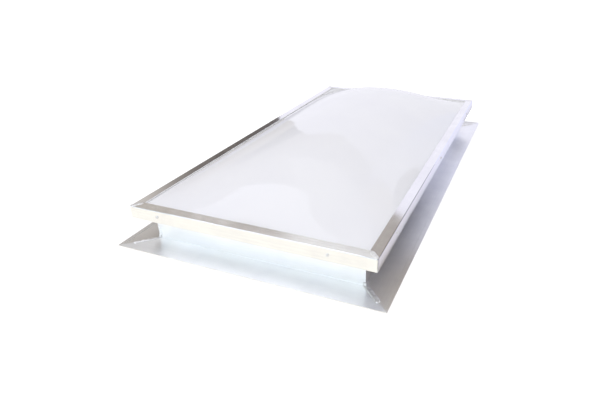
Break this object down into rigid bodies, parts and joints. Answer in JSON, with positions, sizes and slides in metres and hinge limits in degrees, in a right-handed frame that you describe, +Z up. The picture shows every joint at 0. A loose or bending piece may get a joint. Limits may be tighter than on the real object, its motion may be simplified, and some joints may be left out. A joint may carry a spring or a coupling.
{
  "type": "roof skylight",
  "caption": "Fixed self-flashing roof skylight with a welded aluminium curb and roof flange, a low white dome and a screwed-on cap frame.",
  "frame": {"origin": "on the roof deck, at the underside of the flange, below the middle of the unit", "axes": "+X across the width to the right, +Y along the length to the back, +Z up out of the roof"},
  "size_m": [0.7214, 1.331, 0.203],
  "materials": {
    "mill_aluminium": "mill finish extrusion, fine lines along its length",
    "weld_aluminium": "as welded, rippled",
    "white_acrylic": "glossy white acrylic sheet, thermoformed",
    "foam_tape": "closed-cell foam tape",
    "rubber_seal": "smooth white glazing rubber",
    "zinc_steel": "zinc plated"
  },
  "bodies": {
    "root": {"curb_front": "mill_aluminium", "curb_back": "mill_aluminium", "curb_left": "mill_aluminium", "curb_right": "mill_aluminium", "flange_weld_front_left": "weld_aluminium", "flange_weld_front_right": "weld_aluminium", "flange_weld_back_left": "weld_aluminium", "flange_weld_back_right": "weld_aluminium", "upstand_weld_front_left": "weld_aluminium", "upstand_weld_front_right": "weld_aluminium", "upstand_weld_back_left": "weld_aluminium", "upstand_weld_back_right": "weld_aluminium", "bedding_tape_front": "foam_tape", "bedding_tape_back": "foam_tape", "bedding_tape_left": "foam_tape", "bedding_tape_right": "foam_tape", "dome": "white_acrylic", "cap_seal_front": "rubber_seal", "cap_seal_back": "rubber_seal", "cap_seal_left": "rubber_seal", "cap_seal_right": "rubber_seal", "cap_rail_front": "mill_aluminium", "cap_rail_back": "mill_aluminium", "cap_rail_left": "mill_aluminium", "cap_rail_right": "mill_aluminium", "cap_weld_front_left": "weld_aluminium", "cap_weld_front_right": "weld_aluminium", "cap_weld_back_left": "weld_aluminium", "cap_weld_back_right": "weld_aluminium", "cap_screws": "zinc_steel"}
  },
  "joints": []
}
